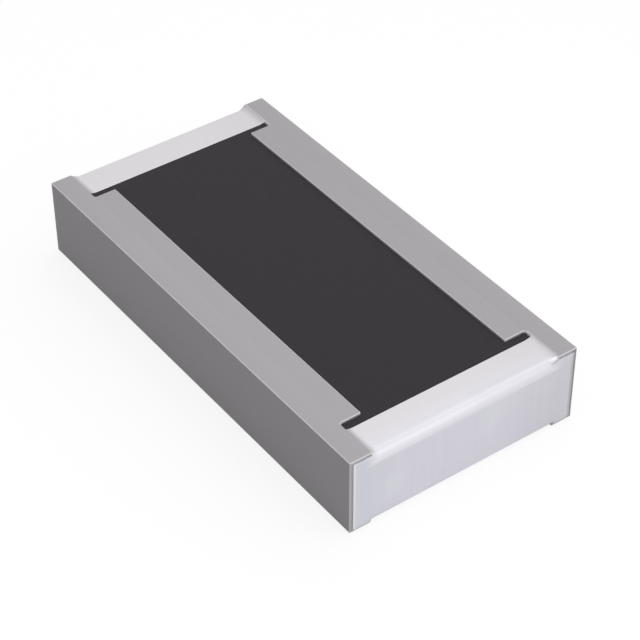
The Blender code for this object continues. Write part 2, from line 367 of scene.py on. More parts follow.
class Sketch:
    """A material's node tree while it is laid out, with object coordinates in metres."""

    def __init__(self, name: str, roughness: float, metallic: float, colour: Colour) -> None:
        """Start a material.

        Args:
            name: The material's name.
            roughness: Roughness of the surface where nothing varies it.
            metallic: 1 for bare metal, 0 for the rest.
            colour: The colour that the material has on the whole.
        """
        self.roughness = roughness
        self.material = bpy.data.materials.new(name)
        self.material.use_nodes = True
        self.material.diffuse_color = (*colour, 1.0)
        self.tree = self.material.node_tree
        self.shader = self.tree.nodes["Principled BSDF"]
        self.shader.inputs["Base Color"].default_value = (*colour, 1.0)
        self.shader.inputs["Roughness"].default_value = roughness
        self.shader.inputs["Metallic"].default_value = metallic
        coordinates = self.tree.nodes.new("ShaderNodeTexCoord")
        self.place = coordinates.outputs["Object"]
        self.facing = coordinates.outputs["Normal"]

    def link(self, source: Socket, target: Socket) -> None:
        """Join two sockets."""
        self.tree.links.new(source, target)

    def noise(self, grain: float, detail: Detail, drag: Drag = Drag.NONE) -> Socket:
        """Add noise.

        Args:
            grain: Size of a grain, in metres.
            detail: How much detail it has.
            drag: How the grains are drawn out.

        Returns:
            The noise's value, about 0.5 on the whole.
        """
        stretch = self.tree.nodes.new("ShaderNodeMapping")
        stretch.inputs["Scale"].default_value = drag.value
        self.link(self.place, stretch.inputs["Vector"])
        texture = self.tree.nodes.new("ShaderNodeTexNoise")
        texture.inputs["Scale"].default_value = 1.0 / grain
        texture.inputs["Detail"].default_value = detail.value
        self.link(stretch.outputs["Vector"], texture.inputs["Vector"])
        return texture.outputs["Fac"]

    def cells(self, grain: float) -> Socket:
        """Add the cells of a crystalline or sintered surface.

        Args:
            grain: Size of a cell, in metres.

        Returns:
            The distance to the cell's middle, 0 there.
        """
        texture = self.tree.nodes.new("ShaderNodeTexVoronoi")
        texture.inputs["Scale"].default_value = 1.0 / grain
        self.link(self.place, texture.inputs["Vector"])
        return texture.outputs["Distance"]

    def spread(
        self, source: Socket, low: float, high: float, start: float = NOISE_LOW, stop: float = NOISE_HIGH
    ) -> Socket:
        """Map a value to a range.

        Args:
            source: The value.
            low: Result at start and below.
            high: Result at stop and above.
            start: Where the range starts.
            stop: Where the range stops.

        Returns:
            The mapped value.
        """
        level = self.tree.nodes.new("ShaderNodeMapRange")
        level.inputs["From Min"].default_value = start
        level.inputs["From Max"].default_value = stop
        level.inputs["To Min"].default_value = low
        level.inputs["To Max"].default_value = high
        self.link(source, level.inputs["Value"])
        return level.outputs["Result"]

    def along(self, ramp: Ramp) -> Socket:
        """Ramp a value along an axis of the part."""
        return ramped(self.tree, self.place, ramp)

    def arris(self, flat: float, rounded: float) -> Socket:
        """Pick out the rounded edges of a block that is square to the axes.

        Args:
            flat: Share of the normal along its nearest axis at which the result is 0.
            rounded: Share at which the result is 1.

        Returns:
            0 on the flats and 1 on the rounded edges.
        """
        unsigned = self.tree.nodes.new("ShaderNodeVectorMath")
        unsigned.operation = "ABSOLUTE"
        self.link(self.facing, unsigned.inputs[0])
        split = self.tree.nodes.new("ShaderNodeSeparateXYZ")
        self.link(unsigned.outputs["Vector"], split.inputs["Vector"])
        level = self.reckon(Sum.LARGER, split.outputs["X"], split.outputs["Y"])
        nearest = self.reckon(Sum.LARGER, level, split.outputs["Z"])
        return self.spread(nearest, 1.0, 0.0, rounded, flat)

    def reckon(self, what: Sum, first: Socket, second: Socket | float) -> Socket:
        """Do a sum with two values.

        Args:
            what: The sum.
            first: The first value.
            second: The second value or a plain number.

        Returns:
            The result.
        """
        node = self.tree.nodes.new("ShaderNodeMath")
        node.operation = what.value
        self.link(first, node.inputs[0])
        if isinstance(second, float):
            node.inputs[1].default_value = second
        else:
            self.link(second, node.inputs[1])
        return node.outputs["Value"]

    def overlap(self, first: Socket, *others: Socket) -> Socket:
        """Multiply masks.

        Args:
            first: The first mask.
            others: The other masks.

        Returns:
            The mask that is 1 only where all of them are.
        """
        for other in others:
            first = self.reckon(Sum.TIMES, first, other)
        return first

    def blend(self, factor: Socket, under: Socket | Colour, over: Socket | Colour) -> Socket:
        """Lay a colour over another.

        Args:
            factor: 0 for the colour under, 1 for the colour over it.
            under: The colour under.
            over: The colour over it.

        Returns:
            The mixed colour.
        """
        mix = self.tree.nodes.new("ShaderNodeMix")
        mix.data_type = "RGBA"
        self.link(factor, mix.inputs["Factor"])
        for side, name in ((under, "A"), (over, "B")):
            socket = next(s for s in mix.inputs if s.name == name and s.type == "RGBA")
            if isinstance(side, tuple):
                socket.default_value = (*side, 1.0)
            else:
                self.link(side, socket)
        return next(s for s in mix.outputs if s.type == "RGBA")

    def paint(self, colour: Socket) -> None:
        """Give the shader its colour."""
        self.link(colour, self.shader.inputs["Base Color"])

    def shine(self, level: float) -> None:
        """Set how strongly the surface mirrors light, where 0.5 is usual."""
        self.shader.inputs["Specular IOR Level"].default_value = level

    def roughen(self, sheen: Socket, height: Socket, relief: Relief) -> None:
        """Vary the roughness and bump the surface.

        Args:
            sheen: The noise that varies the roughness.
            height: The height field of the bump, about 0 to 1.
            relief: How far both go.
        """
        low = self.roughness - relief.smoother
        high = self.roughness + relief.rougher
        self.link(self.spread(sheen, low, high), self.shader.inputs["Roughness"])
        bump = self.tree.nodes.new("ShaderNodeBump")
        bump.inputs["Distance"].default_value = relief.depth
        bump.inputs["Strength"].default_value = relief.strength
        self.link(height, bump.inputs["Height"])
        self.link(bump.outputs["Normal"], self.shader.inputs["Normal"])


@dataclass(frozen=True)
class FiredCeramic:
    """Grey fired alumina: a fine sintered grain in soft clouds, with a painted highlight along the
    rounded edges.

    On the ears at +Y a pale fade runs out from the strip: plating that spread over the ceramic's top,
    with painted light that lifts the shade at the ear's rim. Beside the strip the edge lies against the
    tin and gets no painted highlight.
    Beside the plate, the bare end is painted lighter at -Y and darker at +Y, as painted light and shade.
    """

    name: str = "grey_ceramic"
    colour: Colour = (0.481, 0.462, 0.481)
    # Painted highlight of the rounded edges.
    edge_highlight: Colour = (0.86, 0.84, 0.86)
    # Painted light on the bare end at -Y and painted shade on it at +Y.
    lit_end: Colour = (0.62, 0.60, 0.62)
    shaded_end: Colour = (0.42, 0.405, 0.42)
    # Pale fade beside the strip at +Y: spread plating with painted light.
    bleed_and_light_colour: Colour = (0.85, 0.835, 0.85)
    roughness: float = 0.60
    specular: float = 0.35
    relief: Relief = Relief(0.05, 0.06, 0.0006 * MM, 0.5)
    cloud: float = 0.45 * MM
    cloud_darkest: float = 0.985
    cloud_palest: float = 1.015
    grain: float = 0.012 * MM
    grain_shade: float = 0.62
    grain_share: float = 0.07
    flat_edge: float = 0.985
    round_edge: float = 0.93
    bleed_and_light_power: float = 2.0
    bleed_and_light_fade: Ramp = Ramp(Axis.Y, EAR_WALL - 0.006 * MM, EAR_WALL + 0.028 * MM, 1.0, 0.0)
    far_half: Ramp = Ramp(Axis.Y, 0.0, EAR_WALL - 0.006 * MM)
    on_top: Ramp = Ramp(Axis.Z, BODY_TOP - 0.048 * MM, BODY_TOP - 0.028 * MM)
    on_ear: Ramp = Ramp(Axis.X, RAIL_END - 0.003 * MM, RAIL_END + 0.022 * MM, both=True)
    at_end: Ramp = Ramp(Axis.X, BODY_END - 0.009 * MM, BODY_END - 0.0005 * MM, both=True)
    shaded_far_side: Ramp = Ramp(Axis.Y, BODY_SIDE - 0.050 * MM, BODY_SIDE - 0.015 * MM)
    by_strip: Ramp = Ramp(Axis.Y, EAR_WALL + 0.010 * MM, EAR_WALL + 0.028 * MM, 1.0, 0.0, both=True)

    def build(self) -> bpy.types.Material:
        """Lay out the material.

        Returns:
            The material.
        """
        sketch = Sketch(self.name, self.roughness, 0.0, self.colour)
        grains = sketch.noise(self.grain, Detail.FINE)
        on_ear = sketch.along(self.on_ear)
        at_end = sketch.along(self.at_end)
        body = self.sintered(sketch, grains)
        # Pale fade over the +Y ears: spread plating, with painted light at the ear's rim.
        body = sketch.blend(self.bleed_and_light_mask(sketch, on_ear), body, self.bleed_and_light_colour)
        # Painted light and shade on the bare end beside the plate: lighter at -Y, darker at +Y.
        end = sketch.blend(sketch.along(self.shaded_far_side), self.lit_end, self.shaded_end)
        body = sketch.blend(at_end, body, end)
        # Painted highlight along the rounded edges, left out on the ears' top beside the strip.
        ear_top = sketch.reckon(Sum.LESS, on_ear, at_end)
        under_tin = sketch.overlap(sketch.along(self.by_strip), ear_top)
        edges = sketch.reckon(Sum.LESS, sketch.arris(self.flat_edge, self.round_edge), under_tin)
        edges = sketch.reckon(Sum.LARGER, edges, 0.0)
        sketch.paint(sketch.blend(edges, body, self.edge_highlight))
        sketch.roughen(grains, grains, self.relief)
        sketch.shine(self.specular)
        return sketch.material

    def sintered(self, sketch: Sketch, grains: Socket) -> Socket:
        """Mix the colour of the plain ceramic.

        Args:
            sketch: The material so far.
            grains: The noise of the sintered grains.

        Returns:
            The colour.
        """
        clouds = sketch.noise(self.cloud, Detail.MEDIUM)
        darkest = lit(self.colour, self.cloud_darkest)
        body = sketch.blend(clouds, darkest, lit(self.colour, self.cloud_palest))
        mottle = sketch.spread(grains, 0.0, self.grain_share)
        return sketch.blend(mottle, body, lit(self.colour, self.grain_shade))

    def bleed_and_light_mask(self, sketch: Sketch, on_ear: Socket) -> Socket:
        """Find the pale fade over the top of the ears at +Y: plating spread over the ceramic, with
        painted light that lifts the shade at the ear's rim.

        Args:
            sketch: The material so far.
            on_ear: 1 on the ears and 0 between them.

        Returns:
            The fade, 1 at the strip's edge.
        """
        beside = sketch.reckon(Sum.POWER, sketch.along(self.bleed_and_light_fade), self.bleed_and_light_power)
        return sketch.overlap(beside, on_ear, sketch.along(self.far_half), sketch.along(self.on_top))


@dataclass(frozen=True)
class BlackOvercoat:
    """Black printed overcoat: satin, with the fine orange peel and specks of a cured print."""

    name: str = "black_overcoat"
    colour: Colour = (0.0285, 0.0246, 0.0285)
    roughness: float = 0.52
    specular: float = 0.25
    relief: Relief = Relief(0.04, 0.05, 0.0008 * MM, 0.35)
    peel: float = 0.035 * MM
    peel_darkest: float = 0.95
    peel_palest: float = 1.05
    speck: float = 0.010 * MM
    speck_light: float = 1.6
    speck_share: float = 0.10
    speck_start: float = 0.55
    speck_stop: float = 0.75

    def build(self) -> bpy.types.Material:
        """Lay out the material.

        Returns:
            The material.
        """
        sketch = Sketch(self.name, self.roughness, 0.0, self.colour)
        peel = sketch.noise(self.peel, Detail.MEDIUM)
        darkest = lit(self.colour, self.peel_darkest)
        tone = sketch.blend(peel, darkest, lit(self.colour, self.peel_palest))
        specks = sketch.noise(self.speck, Detail.SOFT)
        specks = sketch.spread(specks, 0.0, self.speck_share, self.speck_start, self.speck_stop)
        sketch.paint(sketch.blend(specks, tone, lit(self.colour, self.speck_light)))
        sketch.roughen(peel, peel, self.relief)
        sketch.shine(self.specular)
        return sketch.material


@dataclass(frozen=True)
class TinPlate:
    """Matte electroplated tin: fine crystals and faint streaks down the end, with light and shade
    painted in.

    The strip's outer end and the turn carry a painted reflection, lighter and bluer than the strip, with
    a painted highlight along the turn's ridge. The end plate below is painted darker and bluer as shade,
    and darker still towards both sides. At -Y the strip's side edge has painted shade and the plate's
    border a painted highlight; at +Y the strip's edge has painted light and the plate's border painted
    shade. Towards +Y the whole tin is painted a little darker as shade.
    """

    name: str = "tin"
    colour: Colour = (0.878, 0.852, 0.878)
    # Painted reflection on the strip's outer end and the turn.
    turn_reflection: Colour = (0.897, 0.882, 0.936)
    # Painted highlight along the turn's ridge.
    crest_highlight: Colour = (0.925, 0.912, 0.965)
    # Painted shade on the end plate, with a bluer painted reflection.
    plate: Colour = (0.755, 0.742, 0.812)
    # Painted highlight on the plate's border at -Y, painted shade on the one at +Y.
    border_highlight: Colour = (0.85, 0.84, 0.87)
    border_shade: Colour = (0.50, 0.49, 0.52)
    # Painted shade on the plate towards -Y and towards +Y.
    shaded_near_side: Colour = (0.712, 0.722, 0.780)
    shaded_far_side: Colour = (0.722, 0.708, 0.766)
    tarnish: Colour = (0.80, 0.82, 0.86)
    # Painted shade on the strip's edge at -Y and painted light on the one at +Y.
    edge_shade: Colour = (0.57, 0.555, 0.57)
    edge_light: Colour = (0.93, 0.91, 0.93)
    # Darkens the random streaks, and gives the painted shade towards +Y.
    dark: Colour = (0.2, 0.2, 0.2)
    roughness: float = 0.42
    relief: Relief = Relief(0.02, 0.03, 0.0004 * MM, 0.35)
    crystal: float = 0.008 * MM
    streak: float = 0.030 * MM
    streak_share: float = 0.02
    away_shade_share: float = 0.08
    cloud: float = 0.30 * MM
    tarnish_share: float = 0.30
    tarnish_start: float = 0.45
    tarnish_stop: float = 0.65
    right_out: Ramp = Ramp(Axis.X, TIN_END - 0.187 * MM, TIN_END - 0.077 * MM)
    left_out: Ramp = Ramp(Axis.X, 0.011 * MM - TIN_END, 0.037 * MM - TIN_END, 1.0, 0.0)
    # Where the painted highlight along the turn's ridge lies.
    crest_rise: Ramp = Ramp(Axis.X, TIN_END - 0.027 * MM, TIN_END - 0.0195 * MM, both=True)
    crest_fall: Ramp = Ramp(Axis.X, TIN_END - 0.0145 * MM, TIN_END - 0.008 * MM, 1.0, 0.0, both=True)
    below_turn: Ramp = Ramp(Axis.Z, STRIP_TOP - 0.085 * MM, STRIP_TOP - 0.050 * MM, 1.0, 0.0)
    on_wing: Ramp = Ramp(Axis.Y, EAR_WALL - 0.056 * MM, EAR_WALL + 0.064 * MM, both=True)
    away: Ramp = Ramp(Axis.Y, BODY_SIDE - 0.700 * MM, BODY_SIDE)
    toward: Ramp = Ramp(Axis.Y, 0.080 * MM - BODY_SIDE, 0.350 * MM - BODY_SIDE, 1.0, 0.0)
    at_near_border: Ramp = Ramp(Axis.Y, 0.006 * MM - WING_SIDE, 0.016 * MM - WING_SIDE, 1.0, 0.0)
    at_far_border: Ramp = Ramp(Axis.Y, WING_SIDE - 0.030 * MM, WING_SIDE - 0.010 * MM)
    on_strip: Ramp = Ramp(Axis.X, TIN_END - 0.031 * MM, TIN_END - 0.011 * MM, 1.0, 0.0, both=True)
    # Where the painted shade and the painted light of the strip's side edges fall.
    shaded_edge: Ramp = Ramp(Axis.Y, 0.002 * MM - EAR_WALL, 0.044 * MM - EAR_WALL, 1.0, 0.0)
    lit_edge: Ramp = Ramp(Axis.Y, EAR_WALL - 0.044 * MM, EAR_WALL - 0.002 * MM, 0.0, 0.5)

    def build(self) -> bpy.types.Material:
        """Lay out the material.

        Returns:
            The material.
        """
        sketch = Sketch(self.name, self.roughness, 1.0, self.colour)
        streaks = sketch.noise(self.streak, Detail.MEDIUM, Drag.UPRIGHT)
        # Painted reflection: lighter and bluer towards the turn.
        out = sketch.reckon(Sum.LARGER, sketch.along(self.right_out), sketch.along(self.left_out))
        tone = sketch.blend(out, self.colour, self.turn_reflection)
        # Painted highlight along the turn's ridge.
        crest_highlight = sketch.overlap(sketch.along(self.crest_rise), sketch.along(self.crest_fall))
        tone = sketch.blend(crest_highlight, tone, self.crest_highlight)
        tone = self.on_plate(sketch, out, tone)
        tone = sketch.blend(sketch.spread(streaks, 0.0, self.streak_share), tone, self.dark)
        clouds = sketch.noise(self.cloud, Detail.SOFT)
        clouds = sketch.spread(clouds, 0.0, self.tarnish_share, self.tarnish_start, self.tarnish_stop)
        tone = sketch.blend(sketch.overlap(clouds, out), tone, self.tarnish)
        sketch.paint(self.along_strip(sketch, tone))
        sketch.roughen(streaks, sketch.cells(self.crystal), self.relief)
        return sketch.material

    def on_plate(self, sketch: Sketch, out: Socket, tone: Socket) -> Socket:
        """Lay the end plate's painted shade, with its darker sides and its painted border highlight and
        shade, over the turn's colour.

        Args:
            sketch: The material so far.
            out: 1 on the turn and the plate, 0 on the strip.
            tone: The colour of the strip and the turn.

        Returns:
            The colour with the plate, its sides and its borders.
        """
        # Painted shade: the plate below the turn is darker and bluer, and darker still at both sides.
        away = sketch.along(self.away)
        plate = sketch.blend(away, self.plate, self.shaded_far_side)
        plate = sketch.blend(sketch.along(self.toward), plate, self.shaded_near_side)
        below = sketch.reckon(Sum.LARGER, sketch.along(self.below_turn), sketch.along(self.on_wing))
        tone = sketch.blend(sketch.overlap(below, out), tone, plate)
        # Painted shade: the whole tin a little darker towards +Y.
        tone = sketch.blend(sketch.reckon(Sum.TIMES, away, self.away_shade_share), tone, self.dark)
        # Painted highlight on the plate's border at -Y, painted shade on the one at +Y.
        tone = sketch.blend(sketch.along(self.at_near_border), tone, self.border_highlight)
        return sketch.blend(sketch.along(self.at_far_border), tone, self.border_shade)

    def along_strip(self, sketch: Sketch, tone: Socket) -> Socket:
        """Give the strip's side edge at -Y painted shade by the ear's wall, and the one at +Y painted
        light.

        Args:
            sketch: The material so far.
            tone: The colour so far.

        Returns:
            The colour with both edges.
        """
        on_strip = sketch.along(self.on_strip)
        # Painted shade on the strip's edge at -Y, painted light on the one at +Y.
        tone = sketch.blend(sketch.overlap(sketch.along(self.shaded_edge), on_strip), tone, self.edge_shade)
        return sketch.blend(sketch.overlap(sketch.along(self.lit_edge), on_strip), tone, self.edge_light)


@dataclass(frozen=True)
class PlatedMetal:
    """A hidden plated or printed metal layer with its own tone and grain."""

    name: str
    colour: Colour
    roughness: float
    grain: float
    drag: Drag = Drag.NONE
    relief: Relief = Relief(0.06, 0.08, 0.0005 * MM, 0.4)
    darkest: float = 0.88
    palest: float = 1.08

    def build(self) -> bpy.types.Material:
        """Lay out the material.

        Returns:
            The material.
        """
        sketch = Sketch(self.name, self.roughness, 1.0, self.colour)
        grains = sketch.noise(self.grain, Detail.MEDIUM, self.drag)
        sketch.paint(sketch.blend(grains, lit(self.colour, self.darkest), lit(self.colour, self.palest)))
        sketch.roughen(grains, grains, self.relief)
        return sketch.material


@dataclass(frozen=True)
class FiredPrint:
    """A hidden fired print: the dark resistor track, or the glass coat over it."""

    name: str
    colour: Colour
    fleck: Colour
    roughness: float
    grain: float
    relief: Relief = Relief(0.04, 0.06, 0.0006 * MM, 0.4)
    fleck_share: float = 0.6
    fleck_start: float = 0.45
    fleck_stop: float = 0.75

    def build(self) -> bpy.types.Material:
        """Lay out the material.

        Returns:
            The material.
        """
        sketch = Sketch(self.name, self.roughness, 0.0, self.colour)
        grains = sketch.noise(self.grain, Detail.FINE)
        flecks = sketch.spread(grains, 0.0, self.fleck_share, self.fleck_start, self.fleck_stop)
        sketch.paint(sketch.blend(flecks, self.colour, self.fleck))
        sketch.roughen(grains, grains, self.relief)
        return sketch.material


def dress(piece: bpy.types.Object, material: bpy.types.Material) -> None:
    """Give a piece one material in place of whatever it had."""
    piece.data.materials.clear()
    piece.data.materials.append(material)


def seat(piece: bpy.types.Object, slot: str, *nodes: str) -> None:
    """Let a piece ride on the part's only body and stand for its nodes.

    Args:
        piece: The new piece.
        slot: The material slot of its finish; not used.
        nodes: The nodes that it stands for.
    """
    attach(piece, "root")
    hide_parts(*nodes)
    LOG.info("%s: %d faces, for %s", piece.name, len(piece.data.polygons), ", ".join(nodes))


def turned(centre: Point2, radius: float, side: int, edge: Edge, steps: int) -> list[Point2]:
    """A quarter turn of a section, from level to upright.

    Args:
        centre: Middle of the turn as (x, z).
        radius: Its radius.
        side: Sign of X outwards.
        edge: Whether it turns from the top or from the bottom.
        steps: Segments of the turn.

    Returns:
        The points as (x, z).
    """
    return [
        (centre[0] + side * radius * math.sin(a), centre[1] + edge.value * radius * math.cos(a))
        for a in arc_angles(steps)
    ]


@dataclass
class CeramicBody:
    """The fired ceramic body with its tray, rails, ears and the seats of the solder lands."""

    finish: FiredCeramic
    end: float = BODY_END
    side: float = BODY_SIDE
    bottom: float = 0.002 * MM
    top: float = BODY_TOP
    edge_radius: float = 0.007 * MM
    rim_radius: float = 0.006 * MM
    tray_floor: float = 0.492 * MM
    tray_side: float = 0.5105 * MM
    tray_end_side: float = EAR_WALL
    rail_end: float = RAIL_END
    slot_corner: float = 0.014 * MM
    rail_corner: float = 0.0085 * MM
    top_turn: float = 0.045 * MM
    land_floor: float = 0.023 * MM
    land_inner: float = 1.155 * MM
    bottom_turn: float = 0.050 * MM
    past: float = 0.050 * MM
    steps: int = 10

    def block(self) -> bpy.types.Object:
        """Make the plain body with its rounded outer edges.

        Returns:
            The body, linked to the scene.
        """
        form = bmesh.new()
        size = (2 * self.end, 2 * self.side, self.top - self.bottom, 1.0)
        middle = Vector((0.0, 0.0, (self.top + self.bottom) / 2))
        bmesh.ops.create_cube(form, size=1.0, matrix=Matrix.Translation(middle) @ Matrix.Diagonal(size))
        bmesh.ops.bevel(
            form,
            geom=form.edges[:],
            offset=self.edge_radius,
            segments=self.steps,
            profile=0.5,
            affect="EDGES",
        )
        return placed("ceramic_body", form)

    def tray_outline(self, grow: float) -> list[Point2]:
        """The tray's plan, past both ends of the body.

        Args:
            grow: How far the plan is widened where its rim is rounded.

        Returns:
            The plan's points.
        """
        quarter = [
            (self.end + self.past, self.tray_end_side + grow, 0.0),
            (self.rail_end - grow, self.tray_end_side + grow, self.slot_corner + grow),
            (self.rail_end - grow, self.tray_side + grow, self.rail_corner - grow),
        ]
        return filleted(four_way(quarter), self.steps)

    def tray(self) -> bpy.types.Object:
        """Make the solid that hollows the tray, with its rounded rim.

        Returns:
            The solid.
        """
        levels = [(self.tray_floor, 0.0)]
        for angle in arc_angles(self.steps // 2):
            depth = self.rim_radius * (1 - math.sin(angle))
            levels.append((self.top - depth, self.rim_radius * (1 - math.cos(angle))))
        levels.append((self.top + self.past, self.rim_radius))
        return loft("tray", [[(x, y, z) for x, y in self.tray_outline(grow)] for z, grow in levels])

    def across(self, name: str, outline: list[Point2]) -> bpy.types.Object:
        """Carry a section across the part between the ears.

        Args:
            name: Name of the solid.
            outline: The section as (x, z).

        Returns:
            The solid.
        """
        half = self.tray_end_side
        return loft(name, [[(x, y, z) for x, z in outline] for y in (-half, half)])

    def top_turn_cutter(self, end: End) -> bpy.types.Object:
        """Make the solid that rounds the end of the tray's floor.

        Args:
            end: Which end of the part.

        Returns:
            The solid.
        """
        side = end.value
        past = side * (self.end + self.past)
        inner = side * (self.end - self.top_turn)
        low = self.tray_floor - self.top_turn
        outline = turned((inner, low), self.top_turn, side, Edge.TOP, self.steps)
        outline += [(past, low), (past, self.top), (inner, self.top)]
        return self.across("top_turn", outline)

    def land_cutter(self, end: End) -> bpy.types.Object:
        """Make the solid that sinks the underside for a land and rounds its outer end.

        Args:
            end: Which end of the part.

        Returns:
            The solid.
        """
        side = end.value
        past = side * (self.end + self.past)
        inner = side * self.land_inner
        high = self.land_floor + self.bottom_turn
        outline = [(past, -self.past), (inner, -self.past), (inner, self.land_floor)]
        centre = (side * (self.end - self.bottom_turn), high)
        outline += turned(centre, self.bottom_turn, side, Edge.BOTTOM, self.steps)
        outline.append((past, high))
        return self.across("land_seat", outline)

    def build(self) -> bpy.types.Object:
        """Make the body and dress it.

        Returns:
            The piece that stands for the ceramic substrate.
        """
        body = self.block()
        cutters = [self.tray()]
        for end in End:
            cutters += [self.top_turn_cutter(end), self.land_cutter(end)]
        subtract(body, cutters)
        shade(body)
        dress(body, self.finish.build())
        seat(body, "grey_ceramic", "ceramic_substrate")
        return body


@dataclass
class Overcoat:
    """The black coat that fills the tray up to just below the rails and lies between the strips."""

    finish: BlackOvercoat
    tray: CeramicBody
    strip_inner: float = STRIP_INNER
    top: float = 0.5155 * MM
    bond: float = BOND
    gap: float = 0.002 * MM
    lip: float = 0.004 * MM
    corner: float = 0.008 * MM
    steps: int = 6

    def outline(self, shrink: float) -> list[Point2]:
        """The coat's plan.

        Args:
            shrink: How far the plan is drawn in where its lip is rounded.

        Returns:
            The plan's points.
        """
        tray = self.tray
        inset = self.gap + shrink
        quarter = [
            (self.strip_inner - inset, tray.tray_end_side - inset, self.corner - shrink),
            (tray.rail_end + inset, tray.tray_end_side - inset, self.corner - shrink),
            (tray.rail_end + inset, tray.tray_side - inset, tray.rail_corner + inset),
        ]
        return filleted(four_way(quarter), self.steps)

    def build(self) -> bpy.types.Object:
        """Make the coat and dress it.

        Returns:
            The piece that stands for the overcoat.
        """
        levels = [(self.tray.tray_floor + self.bond, 0.0)]
        for angle in arc_angles(self.steps):
            depth = self.lip * (1 - math.sin(angle))
            levels.append((self.top - depth, self.lip * (1 - math.cos(angle))))
        rings = [[(x, y, z) for x, y in self.outline(shrink)] for z, shrink in levels]
        coat = loft("overcoat_print", rings)
        shade(coat)
        dress(coat, self.finish.build())
        seat(coat, "black_overcoat", "overcoat")
        return coat


@dataclass
class TinWrap:
    """The tin plating of one end: top strip, turn, end plate with its wings, and solder land.

    Beside an ear the strip climbs the ear's wall a little and its turn tightens. Just past the wall the
    turn runs out into the border of the plate's wing. flat_shares and front_levels are where a section
    has points between its turns. The sizes without a value of their own follow from the ceramic body,
    from the bond between the two and from how far the plating stands out.
    """

    finish: bpy.types.Material
    end: End
    body: CeramicBody
    bond: float = BOND
    plating: float = PLATING
    strip_inner: float = STRIP_INNER
    strip_top: float = STRIP_TOP
    wing_start: float = 0.6585 * MM
    wing_side: float = WING_SIDE
    wing_shift: float = 0.002 * MM
    wing_top: float = 0.510 * MM
    wing_radius: float = 0.006 * MM
    side_turn: float = 0.0275 * MM
    climb: float = 0.011 * MM
    climb_reach: float = 0.050 * MM
    run_out: float = 0.010 * MM
    tip_radius: float = 0.004 * MM
    flat_shares: tuple[float, ...] = (0.04, 0.5, 0.96)
    front_levels: tuple[float, ...] = (0.435 * MM, 0.080 * MM)
    crease: float = 50.0
    steps: int = 10
    outer: float = field(init=False)
    ceramic_end: float = field(init=False)
    land_inner: float = field(init=False)
    strip_floor: float = field(init=False)
    land_floor: float = field(init=False)
    strip_side: float = field(init=False)
    top_turn: float = field(init=False)
    bottom_turn: float = field(init=False)
    floor_turn: float = field(init=False)
    land_turn: float = field(init=False)

    def __post_init__(self) -> None:
        """Work out the sizes that follow from the ceramic body."""
        body = self.body
        self.outer = body.end + self.plating
        self.ceramic_end = body.end + self.bond
        self.land_inner = body.land_inner + 2 * self.bond
        self.strip_floor = body.tray_floor + self.bond
        self.land_floor = body.land_floor - self.bond
        self.strip_side = body.tray_end_side + self.bond
        self.top_turn = body.top_turn + self.plating
        self.bottom_turn = body.bottom_turn + self.plating
        self.floor_turn = body.top_turn + self.bond
        self.land_turn = body.bottom_turn + self.bond

    def around_end(self, outer: float, high: Point2, low: Point2) -> tuple[list[Point2], list[Point2]]:
        """The turn at the top of the end and the turn at its bottom.

        Args:
            outer: How far the end reaches out.
            high: Height of the surface above and the radius of its turn.
            low: Height of the surface below and the radius of its turn.

        Returns:
            Both turns, each from top to bottom.
        """
        above = turned((outer - high[1], high[0] - high[1]), high[1], 1, Edge.TOP, self.steps)
        below = turned((outer - low[1], low[0] + low[1]), low[1], 1, Edge.BOTTOM, self.steps)
        return above, below[::-1]

    def strip_ring(self, across: float) -> list[Point2]:
        """Section through the strip, the plate and the land.

        Args:
            across: Distance from the part's middle line.

        Returns:
            The closed section as (x outwards, z).
        """
        near_ear = max(0.0, 1 - (self.strip_side - across) / self.climb_reach)
        top = self.strip_top + self.climb * near_ear**2
        radius = self.top_turn + (self.side_turn - self.top_turn) * near_ear
        high, low = self.around_end(self.outer, (top, radius), (0.0, self.bottom_turn))
        tip = self.tip_radius
        ring = turned((self.strip_inner + tip, top - tip), tip, -1, Edge.TOP, self.steps // 2)[::-1]
        flat = high[0][0] - self.strip_inner - tip
        ring += [(self.strip_inner + tip + flat * share, top) for share in self.flat_shares]
        ring += high + [(self.outer, level) for level in self.front_levels] + low
        ring.append((self.land_inner, 0.0))
        inner = self.steps // 2
        land_centre = (self.ceramic_end - self.land_turn, self.land_floor + self.land_turn)
        floor_centre = (self.ceramic_end - self.floor_turn, self.strip_floor - self.floor_turn)
        ring.append((self.land_inner, self.land_floor))
        ring += turned(land_centre, self.land_turn, 1, Edge.BOTTOM, inner)
        ring += turned(floor_centre, self.floor_turn, 1, Edge.TOP, inner)[::-1]
        ring.append((self.strip_inner, self.strip_floor))
        return ring

    def wing_ring(self, across: float, lost: float) -> list[Point2]:
        """Section through a wing of the plate.

        Args:
            across: Distance from the part's middle line.
            lost: How far the section is drawn in over the wing's rounded side.

        Returns:
            The closed section as (x outwards, z), with as many points as the strip's.
        """
        radius = self.wing_radius - lost
        high, low = self.wing_top - lost, self.land_floor + lost
        border = self.around_end(self.outer - lost, (high, radius), (low, radius))
        ear_top = (self.strip_top + self.climb, self.side_turn)
        beside = self.around_end(self.outer, ear_top, (0.0, self.bottom_turn))
        share = smooth_step((across - self.wing_start) / self.run_out)
        turns = []
        for (from_x, from_z), (x, z) in zip(beside[0] + beside[1], border[0] + border[1]):
            from_x = max(self.ceramic_end, from_x)
            from_z = min(max(from_z, low), high)
            turns.append((from_x + (x - from_x) * share, from_z + (z - from_z) * share))
        front = [(self.outer - lost, level) for level in self.front_levels]
        ring = [(self.ceramic_end, high)] * (self.steps // 2 + 1 + len(self.flat_shares))
        ring += turns[: self.steps + 1] + front + turns[self.steps + 1 :]
        inner = self.steps // 2 + 2
        return ring + [(self.ceramic_end, low)] * (inner + 1) + [(self.ceramic_end, high)] * inner

